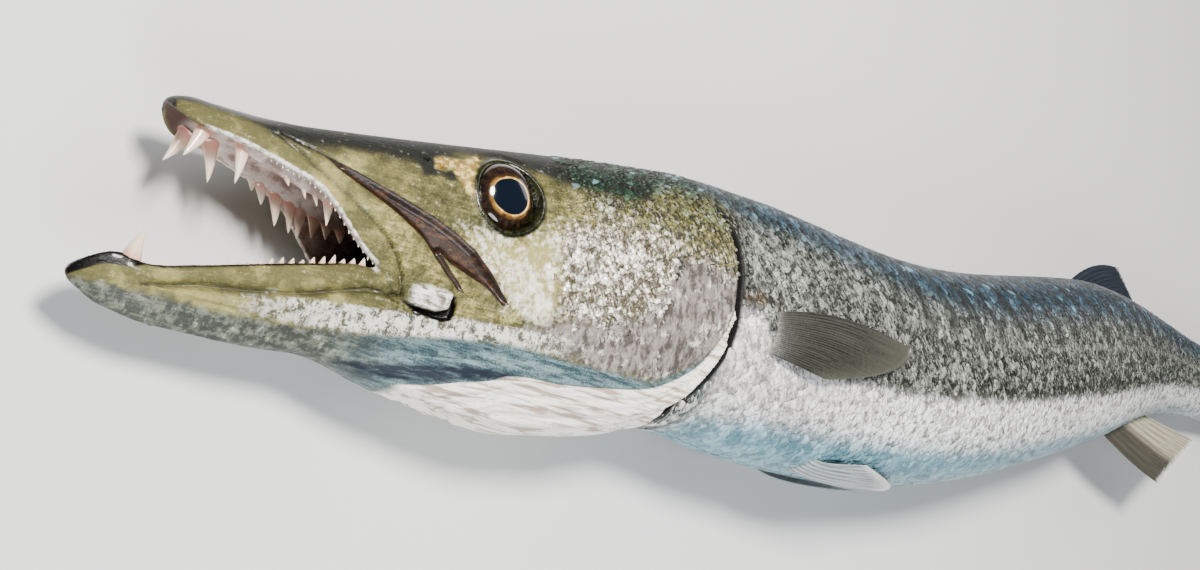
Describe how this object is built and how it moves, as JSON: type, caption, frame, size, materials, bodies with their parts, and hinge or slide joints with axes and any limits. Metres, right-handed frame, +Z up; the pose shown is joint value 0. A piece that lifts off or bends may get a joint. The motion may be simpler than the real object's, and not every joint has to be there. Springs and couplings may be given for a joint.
{
  "type": "fish model",
  "caption": "Life-size still model of a great barracuda lying on its side, body gently bent, jaws open with fangs showing, fins folded and tail spread.",
  "frame": {"origin": "centre of the bounding box in plan, at the level of the floor the fish lies on", "axes": "+X from the head towards the tail, +Y towards the fish's back, +Z up, which is the fish's left side"},
  "size_m": [1.2576, 0.2074, 0.1232],
  "materials": {
    "head_skin": "painted resin under clear gloss, olive and dark green mottled with gold",
    "jaw": "painted resin under clear gloss, olive gold with black tips and ivory teeth",
    "throat_skin": "painted resin under clear gloss, white with fine folds",
    "gill_cover": "painted resin under clear gloss, mauve grey and gold",
    "trunk_skin": "painted resin with raised scales under clear gloss, dark blue-green back, silver-grey flank, white belly",
    "fin": "satin painted resin, olive grey to black with pale edges",
    "eye": "polished, dark pupil in a gold and purple-brown iris"
  },
  "bodies": {
    "root": {"head": "head_skin", "upper_jaw": "jaw", "lower_jaw": "jaw", "throat": "throat_skin", "gill_cover_left": "gill_cover", "gill_cover_right": "gill_cover", "eye_left": "eye", "eye_right": "eye", "trunk_front": "trunk_skin", "trunk_middle": "trunk_skin", "trunk_rear": "trunk_skin", "tail_stalk": "trunk_skin", "first_dorsal_fin": "fin", "second_dorsal_fin": "fin", "anal_fin": "fin", "caudal_fin": "fin", "pectoral_fin_left": "fin", "pectoral_fin_right": "fin", "pelvic_fin_left": "fin", "pelvic_fin_right": "fin"}
  },
  "joints": []
}
